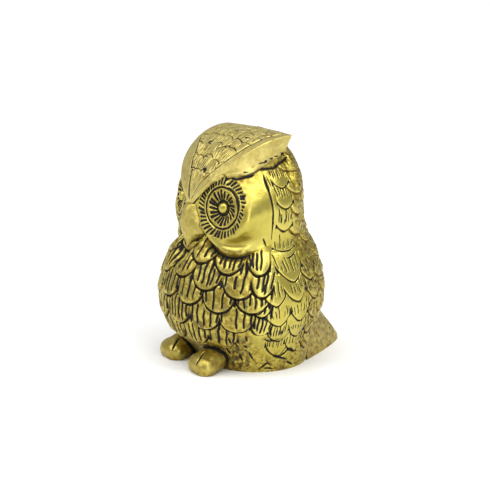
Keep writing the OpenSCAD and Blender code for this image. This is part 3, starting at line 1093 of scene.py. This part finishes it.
def engrave_crest(sheet, t_rows):
    """Border lines, and feathers that grow back from the beak towards the ears."""
    points = sheet.base
    x, y = points[..., 0], points[..., 1]
    middle = points[:, points.shape[1] // 2]
    run = np.concatenate([[0], np.cumsum(np.linalg.norm(np.diff(middle, axis=0), axis=1))])
    back = np.broadcast_to(run[:, None], x.shape)
    border = crest_border(t_rows, x)
    for row, place in reversed(list(enumerate(CREST_ROWS))):
        tip = np.interp(place, middle[:, 1], run)
        half_width = 2.3 + 0.3 * row
        for k in range(-5, 6):
            centre = (k + 0.5 * (row % 2)) * half_width * 1.75 + 0.4 * math.sin(5.0 * k + row)
            lean = 16.0 * math.sin(2.3 * row + k)
            feather = Feather(CREST_STYLE, centre, tip + 0.5 * math.sin(3.1 * k + row),
                              half_width, lean)
            u = x - feather.turn
            v = feather.height - back
            where = np.nonzero((np.abs(u) < half_width * 1.7) & (v > -2) & (v < 7))
            if len(where[0]):
                chase(sheet, u[where], v[where], where, feather)
    patchy = ease(0.45 + 1.7 * noise_a(points, 2.6) + 0.6 * noise_b(points, 0.9))
    sheet.ink_and_shade *= patchy
    for k in range(6):
        first = on_crest(sheet, -3.0 + 0.95 * k, -15.6 + 0.3 * (k % 3))
        last = on_crest(sheet, -4.6 + 1.5 * k, -12.6 + 0.5 * (k % 2))
        sheet.carve(np.array([first, last]), 0.5, 0.22)
    sheet.grime_and_shade = 0.5 * ease(0.3 + noise_b(points, 1.7)) + 0.15
    for mark_x, mark_y in CREST_DARK_MARKS:
        ragged = 0.45 * noise_b(points, 0.8)
        spot = np.exp(-np.square((x - mark_x + ragged) / 1.3)
                      - np.square((y - mark_y + ragged) / 0.32))
        sheet.darken(0.9 * ease(spot * 1.3))
        sheet.rise -= 0.2 * spot
    inside = ease((border - np.abs(x)) / 0.5)
    sheet.rise *= inside
    sheet.ink_and_shade *= inside
    heavy = np.where(x < 0, 0.75 - 0.4 * ease((y + 7) / 8), 0.34 + 0.14 * noise_b(points, 2.0))
    line = bump(np.abs(x) - border, heavy)
    everywhere = np.nonzero(line > 0)
    sheet.cut(everywhere, line[everywhere], 0.2, 0.9)


# ---------------------------------------------------------------- beak, eyes, feet, tail
def beak_half_width(u):
    widest = 0.64
    wide = 3.2 + 2.8 * ease(u / widest)
    narrow = 5.75 * (1 - np.clip((u - widest) / (1 - widest), 0, 1)) ** 0.85 + 0.25
    return np.where(u < widest, wide, narrow)


def make_beak(material):
    rows, columns = 150, 120
    u = np.linspace(1, 0, rows)[:, None]
    a = np.linspace(-90, 90, columns)[None, :]
    z = BEAK_TOP + (BEAK_TIP - BEAK_TOP) * u
    half = beak_half_width(u)
    front = -(18.3 + 0.7 * u + 1.8 * sin(180 * u ** 0.6))
    y = -14 + (front + 14) * np.maximum(cos(a), 0) ** 0.7
    sheet = Sheet(place(half * sin(a), y, z), False)
    mottle(sheet, 0.3)
    sheet.grime_and_shade = np.maximum(0.9 * ease((np.abs(a) - 60) / 16), 0.35 + 0 * u)
    skin = sheet.final_points()
    back = skin * np.array([1, 0, 1]) + np.array([0, -10.0, 0])
    make_piece("beak_smooth", ["beak"], sheet_fields(sheet), (skin, back),
               closed_skin(rows, columns), material)


def eye_point(side, r, angle, out):
    """A point of an eye, from its distance and angle round the eye's axis and its height."""
    across, up, out = np.moveaxis(place(r * cos(angle), r * sin(angle), out), -1, 0)[..., None]
    return mirror(EYE_PLACE + across * EYE_SIDE + up * EYE_UP + out * EYE_AXIS, side)


def disc_profile(r):
    rim = -0.45 * ease((r - (EYE_R - 0.75)) / 0.75)
    dish = -0.7 * ease((5.1 - r) / 2.3)
    seat = -0.3 * ease((2.45 - r) / 0.25)
    return rim + dish + seat


def make_eye_disc(side, material):
    rows, columns = 110, 420
    r = np.linspace(0.02, EYE_R, rows)[:, None]
    angle = np.linspace(0, 360, columns, endpoint=False)[None, :]
    sheet = Sheet(eye_point(side, r, angle, disc_profile(r)), True)
    sheet.face(mirror(EYE_AXIS, side))
    everywhere = np.nonzero(np.ones(sheet.rise.shape, bool))
    flat_angle = (angle + 0 * r)[everywhere]
    flat_r = (r + 0 * angle)[everywhere]
    cut_rays(sheet, everywhere, flat_angle, flat_r, RAYS_INNER, 2.3, 5.7, 0.95, 0.38, 60 + side)
    sheet.cut(everywhere, bump(flat_r - 2.1, 0.85), 0.14)
    mottle(sheet, 0.2)
    sheet.grime_and_shade = 0.45 + 0.4 * bump(r - 3.0, 2.0) + 0 * angle
    waver = 0.12 * noise_a(sheet.base, 1.4)
    sheet.darken(ease((r - EYE_R + 0.55 + waver) / 0.22))
    low = eye_point(side, EYE_R, angle, -EYE_SINK)
    centre = eye_point(side, 0, 0, -EYE_SINK)
    hub = eye_point(side, 0, 0, disc_profile(0))
    ring = np.arange(columns)
    start = rows * columns
    faces = [grid_quads(rows, columns, True), join_rings(start - columns + ring, start + ring),
             fan(start + ring, start + columns), fan(ring[::-1], start + columns + 1)]
    name = SIDE_NAMES[side] + "_eye_disc"
    make_piece(name + "_rayed", [name], sheet_fields(sheet),
               (sheet.final_points(), low, centre, hub), faces, material,
               flip=side > 0)


def make_pupil(side, material):
    rows, columns = 26, 72
    radius, seat, tall = 1.65, -1.0, 1.3
    k = np.linspace(90, 0, rows)[:, None]
    angle = np.linspace(0, 360, columns, endpoint=False)[None, :]
    r = radius * (cos(k) ** 0.85 + 0.002)
    sheet = Sheet(eye_point(side, r, angle, seat + tall * sin(k) ** 0.9), True)
    sheet.face(mirror(EYE_AXIS, side))
    sheet.rise += 0.03 * noise_a(sheet.base, 0.7)
    sheet.grime_and_shade = 0.8 * ease((18 - k) / 18) + 0 * angle
    end = rows * columns
    ring = np.arange(columns)
    faces = [grid_quads(rows, columns, True), fan(end - columns + ring, end),
             ring[::-1][None, :]]
    name = SIDE_NAMES[side] + "_pupil"
    make_piece(name + "_dome", [name], sheet_fields(sheet),
               (sheet.final_points(), eye_point(side, 0, 0, seat)), faces, material,
               flip=side > 0)


FOOT_SPREAD = 9.3
TOE_REACH = 22.6
HEEL = np.array([0.0, -14.9, 3.9])
FOOT_MIDDLE = np.array([0, -16.6, 2.6])


def round_cone(p, first, last, first_r, last_r):
    """Distance to two spheres and the smooth taper between them."""
    span = last - first
    t = np.clip((p - first) @ span / (span @ span), 0, 1)
    centre = first + t[..., None] * span
    return np.linalg.norm(p - centre, axis=-1) - first_r - (last_r - first_r) * t


def foot_form(p):
    """One foot about its own middle: two toes that run back into a higher heel."""
    toes = [round_cone(p, np.array([x, 3.45 - TOE_REACH, 2.2]), HEEL, 3.4, 3.45)
            for x in (-2.1, 2.1)]
    return blend(toes[0], toes[1], 2.6)


FOOT_CREASES = {
    1: ((9.9, -18.6, 7.0), (10.2, -19.9, 6.1), (11.0, -21.5, 4.8), (10.8, -22.5, 3.0)),
    -1: ((-7.4, -18.0, 7.0), (-7.0, -19.0, 6.4), (-5.9, -20.7, 5.0), (-5.5, -21.9, 3.3)),
}


def make_foot(side, material):
    rows, columns = 130, 220
    rise = np.linspace(-40, 89, rows)[:, None]
    turn = np.linspace(0, 360, columns, endpoint=False)[None, :]
    ray = place(cos(rise) * cos(turn), cos(rise) * sin(turn), sin(rise))

    def is_outside(length):
        return foot_form(FOOT_MIDDLE + ray * length[..., None]) > 0

    points = FOOT_MIDDLE + ray * find_edge(is_outside, ray.shape[:2], 0, 14)[..., None]
    sheet = Sheet(mirror(points + [FOOT_SPREAD, 0, 0], side), True)
    sheet.face(mirror(ray, side))
    sheet.carve(snap_to(sheet, np.array(FOOT_CREASES[side])), 0.9, 0.45, taper=0.2)
    mottle(sheet, 0.15)
    height = sheet.base[..., 2]
    # painted shade: brown growing towards the ground and towards the heel, where the foot runs
    # under the body
    sheet.grime_and_shade = np.maximum(0.9 * ease((2.6 - height) / 2.2),
                             0.95 * ease((sheet.base[..., 1] + 18.6) / 2.6))
    # an even brown grime over the whole foot
    sheet.soil_and_shade(0.3)
    # painted shade: brown and black where the foot meets the body
    to_body = torso_form(fold(sheet.base)) + 0.2 * noise_a(sheet.base, 1.1)
    sheet.soil_and_shade(bell(np.maximum(to_body, 0), 2.6))
    sheet.darken(bell(np.maximum(to_body - 0.2, 0), 0.7))
    skin = sheet.final_points()
    skin[..., 2] = np.maximum(skin[..., 2], 0.0)
    tips = np.array([[side * FOOT_SPREAD, FOOT_MIDDLE[1], 0.0], skin[-1].mean(0)])
    ring = np.arange(columns)
    end = rows * columns
    faces = [grid_quads(rows, columns, True), fan(ring[::-1], end),
             fan(end - columns + ring, end + 1)]
    name = SIDE_NAMES[side] + "_foot"
    make_piece(name + "_chased", [name], sheet_fields(sheet), (skin, tips), faces, material,
               flip=side < 0)


def snap_to(sheet, points):
    """Moves each point to the nearest point of the sheet."""
    flat = sheet.base.reshape(-1, 3)
    return np.array([flat[np.argmin(np.linalg.norm(flat - p, axis=1))] for p in points])


def make_tail(material):
    rows, columns = 240, 260
    u = np.linspace(0.12, 1, rows)[:, None]
    a = np.linspace(-90, 90, columns)[None, :]
    root_y = 12.0
    y = root_y + (TAIL_REACH - root_y) * u
    w = 16.2 * (1 - u) ** 0.8 + 0.6 * (1 - u) + 0.5
    ridge = 29.4 * (1 - u) ** 0.95 + 1.6
    height = ridge * np.maximum(cos(a), 0) ** 1.35
    sheet = Sheet(place(w * sin(a), y, height), False)
    sheet.face(np.array([0, 0, 1]))
    sheet.rise += 0.16 * noise_a(sheet.base * [1, 0.35, 0.6], 0.8) - 0.06
    mottle(sheet, 0.7)
    for side in (-1, 1):
        mark = np.array([(side * 1.1, 33.0, 5.2), (side * 2.6, 32.6, 3.4), (side * 4.2, 32.0, 1.2)])
        sheet.carve(snap_to(sheet, mark), 0.35, 0.2, ink_and_shade=0.7)
    sheet.grime_and_shade = 0.4 + 0.4 * noise_b(sheet.base, 2.4) + 0.3 * ease((0.4 - u) / 0.25)
    sheet.rise *= ease(sheet.base[..., 2] / 0.7) * ease((1.02 - u) / 0.08)
    sheet.rise = np.minimum(sheet.rise, 0.0)
    skin = sheet.final_points()
    skin[..., 2] = np.maximum(skin[..., 2], 0.0)
    floor = skin * np.array([1, 1, 0])
    make_piece("tail_rough", ["tail"], sheet_fields(sheet), (skin, floor),
               closed_skin(rows, columns), material)


# ---------------------------------------------------------------- materials
# black for the patina in the cuts and for painted shade; brown for grime and for painted shade
INK_AND_SHADE_COLOR = (0.006, 0.004, 0.003, 1)
STAIN_AND_SHADE_COLOR = (0.21, 0.125, 0.016, 1)


class Nodes:
    """Short ways to add shader nodes to one material."""

    def __init__(self, material):
        self.tree = material.node_tree

    def add(self, kind, **values):
        node = self.tree.nodes.new(kind)
        for key, value in values.items():
            setattr(node, key, value)
        return node

    def link(self, source, target):
        self.tree.links.new(source, target)

    def feed(self, socket, value):
        if isinstance(value, (int, float, tuple)):
            socket.default_value = value
        else:
            self.link(value, socket)

    def math(self, operation, a, b=0.0, clamp=False):
        node = self.add("ShaderNodeMath", operation=operation, use_clamp=clamp)
        self.feed(node.inputs[0], a)
        self.feed(node.inputs[1], b)
        return node.outputs[0]

    def plus(self, a, b, clamp=False):
        return self.math("ADD", a, b, clamp)

    def times(self, a, b, clamp=False):
        return self.math("MULTIPLY", a, b, clamp)

    def mix(self, factor, a, b):
        node = self.add("ShaderNodeMix", data_type="RGBA")
        self.feed(node.inputs["Factor"], factor)
        self.feed(node.inputs[6], a)
        self.feed(node.inputs[7], b)
        return node.outputs[2]

    def field(self, name):
        node = self.add("ShaderNodeAttribute", attribute_name=name, attribute_type="GEOMETRY")
        return node.outputs["Fac"]

    def noise(self, scale, detail=3.0, stretch=(1, 1, 1), roughness=0.5):
        place = self.add("ShaderNodeTexCoord")
        mapping = self.add("ShaderNodeMapping")
        mapping.inputs["Scale"].default_value = stretch
        self.link(place.outputs["Object"], mapping.inputs["Vector"])
        node = self.add("ShaderNodeTexNoise")
        node.inputs["Scale"].default_value = scale
        node.inputs["Detail"].default_value = detail
        node.inputs["Roughness"].default_value = roughness
        self.link(mapping.outputs["Vector"], node.inputs["Vector"])
        return node.outputs["Fac"]

    def ramp(self, value, low, high):
        node = self.add("ShaderNodeMapRange")
        self.feed(node.inputs["Value"], value)
        node.inputs["From Min"].default_value = low
        node.inputs["From Max"].default_value = high
        return node.outputs["Result"]


def brass(name, bright, deep, roughness, stain, brush):
    """Chased brass: dark patina in the cuts, brown in the hollows, bright on the high spots, and
    the painted shade that its black and brown fields carry.
    """
    material = bpy.data.materials.new(name)
    material.use_nodes = True
    n = Nodes(material)
    shader = n.tree.nodes["Principled BSDF"]
    cloud = n.ramp(n.noise(260, 4), 0.35, 0.68)
    speck = n.ramp(n.noise(1500, 3), 0.5, 0.72)
    lines = n.noise(420, 4, stretch=(0.35, 0.35, 9.0))
    high = n.math("MAXIMUM", n.field("wear"), 0.0)
    low = n.math("MAXIMUM", n.times(n.field("wear"), -1.0), 0.0)
    tone = n.plus(n.times(cloud, 0.55), n.times(high, 0.9), clamp=True)
    color = n.mix(tone, deep, bright)
    # brown grime and painted shade from the brown field, in patches, and brown in the low spots;
    # the stain strength scales them all
    grime_and_shade_patches = n.times(n.field("grime_and_shade"), n.ramp(n.noise(700, 4), 0.3, 0.62))
    dirt_and_shade = n.plus(grime_and_shade_patches, n.times(low, 1.1), clamp=True)
    dirt_and_shade = n.times(dirt_and_shade, stain, clamp=True)
    spots = n.times(speck, n.times(n.field("grime_and_shade"), 0.7), clamp=True)
    color = n.mix(dirt_and_shade, color, STAIN_AND_SHADE_COLOR)
    color = n.mix(n.times(spots, 0.55), color, INK_AND_SHADE_COLOR)
    # black patina and painted shade from the black field
    ink_and_shade = n.ramp(n.field("ink_and_shade"), 0.25, 0.7)
    color = n.mix(ink_and_shade, color, INK_AND_SHADE_COLOR)
    n.link(color, shader.inputs["Base Color"])
    dull = n.plus(n.times(lines, 0.16), roughness - 0.08)
    dull = n.plus(dull, n.times(dirt_and_shade, 0.18))
    dull = n.plus(dull, n.times(ink_and_shade, 0.4), clamp=True)
    n.link(dull, shader.inputs["Roughness"])
    metal = n.math("SUBTRACT", 1.0, n.times(ink_and_shade, 0.85), clamp=True)
    n.link(metal, shader.inputs["Metallic"])
    fine = n.add("ShaderNodeBump")
    fine.inputs["Strength"].default_value = brush
    fine.inputs["Distance"].default_value = 0.00012
    grain = n.plus(n.times(lines, 0.7), n.times(n.noise(2600, 3), 0.5))
    n.link(grain, fine.inputs["Height"])
    n.link(fine.outputs["Normal"], shader.inputs["Normal"])
    return material


# ---------------------------------------------------------------- stage, light and camera
def make_floor():
    bpy.ops.mesh.primitive_plane_add(size=30.0, location=(0, 0, 0))
    floor = bpy.context.object
    floor.name = "floor"
    material = bpy.data.materials.new("pale_floor")
    material.use_nodes = True
    shader = material.node_tree.nodes["Principled BSDF"]
    shader.inputs["Base Color"].default_value = (0.96, 0.96, 0.96, 1)
    shader.inputs["Roughness"].default_value = 0.7
    floor.data.materials.append(material)


def aim(thing, target):
    direction = Vector(target) - thing.location
    thing.rotation_euler = direction.to_track_quat("-Z", "Y").to_euler()


def add_lamp(name, kind, turn, rise, distance, power, target, **shape):
    """A lamp aimed at a target; turn is measured as the camera's azimuth."""
    data = bpy.data.lights.new(name, kind)
    data.energy = power
    for key, value in shape.items():
        setattr(data, key, value)
    lamp = bpy.data.objects.new(name, data)
    lamp.location = Vector(around(turn, distance * cos(rise), distance * sin(rise)))
    aim(lamp, target)
    bpy.context.scene.collection.objects.link(lamp)


OWL_MIDDLE = (0, 0, 0.04)


def make_light():
    world = bpy.data.worlds.new("studio")
    world.use_nodes = True
    background = world.node_tree.nodes["Background"]
    background.inputs["Color"].default_value = (1, 1, 1, 1)
    background.inputs["Strength"].default_value = 0.5
    bpy.context.scene.world = world
    # two far, broad, soft suns light the whole floor evenly; two boxes shine on the owl
    add_lamp("top", "SUN", 50, 72, 1, 1.6, (0, 0, 0), angle=math.radians(55))
    add_lamp("front", "SUN", -20, 40, 1, 0.75, (0, 0, 0), angle=math.radians(50))
    add_lamp("key", "AREA", 80, 24, 0.5, 0.5, OWL_MIDDLE, shape="RECTANGLE", size=0.14,
             size_y=0.42)
    add_lamp("shoulder", "AREA", 112, 56, 0.5, 0.45, OWL_MIDDLE, shape="RECTANGLE", size=0.18,
             size_y=0.18)


CAMERA_TURN = 59.0
CAMERA_DISTANCE = 370.0
CAMERA_HEIGHT = 117.0
CAMERA_TARGET_HEIGHT = 35.81
CAMERA_SHIFT = 1.38
LENS = 88.9


def make_camera():
    """The viewpoint: 370 mm from the body axis, looking down about twelve degrees."""
    data = bpy.data.cameras.new("view")
    data.lens = LENS
    data.sensor_width = 36.0
    data.clip_start = 0.01
    camera = bpy.data.objects.new("view", data)
    camera.location = Vector(to_frame(around(CAMERA_TURN, CAMERA_DISTANCE, CAMERA_HEIGHT)))
    target = around(CAMERA_TURN + 90, CAMERA_SHIFT, CAMERA_TARGET_HEIGHT)
    aim(camera, to_frame(target))
    bpy.context.scene.collection.objects.link(camera)
    bpy.context.scene.camera = camera
    bpy.context.scene.view_settings.view_transform = "Standard"


BRIGHT = (0.67, 0.585, 0.145, 1)
DEEP = (0.50, 0.42, 0.075, 1)
FINISHES = {
    # bright colour, deep colour, roughness, stain (it also scales the painted shade), brush marks
    "feathered_brass": (BRIGHT, DEEP, 0.31, 0.95, 0.32),
    "polished_brass": (BRIGHT, DEEP, 0.31, 0.95, 0.32),
    "crest_brass": ((0.86, 0.74, 0.27, 1), (0.68, 0.57, 0.17, 1), 0.40, 0.85, 0.30),
    "engraved_brass": ((0.72, 0.61, 0.16, 1), (0.50, 0.41, 0.08, 1), 0.36, 0.95, 0.25),
    "beak_brass": ((0.72, 0.61, 0.18, 1), (0.54, 0.45, 0.11, 1), 0.42, 0.85, 0.35),
    "foot_brass": ((0.66, 0.56, 0.16, 1), (0.45, 0.355, 0.07, 1), 0.33, 0.95, 0.40),
    "rough_brass": ((0.69, 0.57, 0.16, 1), (0.44, 0.35, 0.08, 1), 0.38, 0.9, 0.6),
}


def build():
    metals = {name: brass(name, *finish) for name, finish in FINISHES.items()}
    make_body_shell(metals["feathered_brass"])
    make_head_shell(metals["polished_brass"])
    make_crest(metals["crest_brass"])
    make_beak(metals["beak_brass"])
    for side in (1, -1):
        make_eye_disc(side, metals["engraved_brass"])
        make_pupil(side, metals["polished_brass"])
        make_foot(side, metals["foot_brass"])
    make_tail(metals["rough_brass"])
    make_floor()
    make_light()
    make_camera()


build()
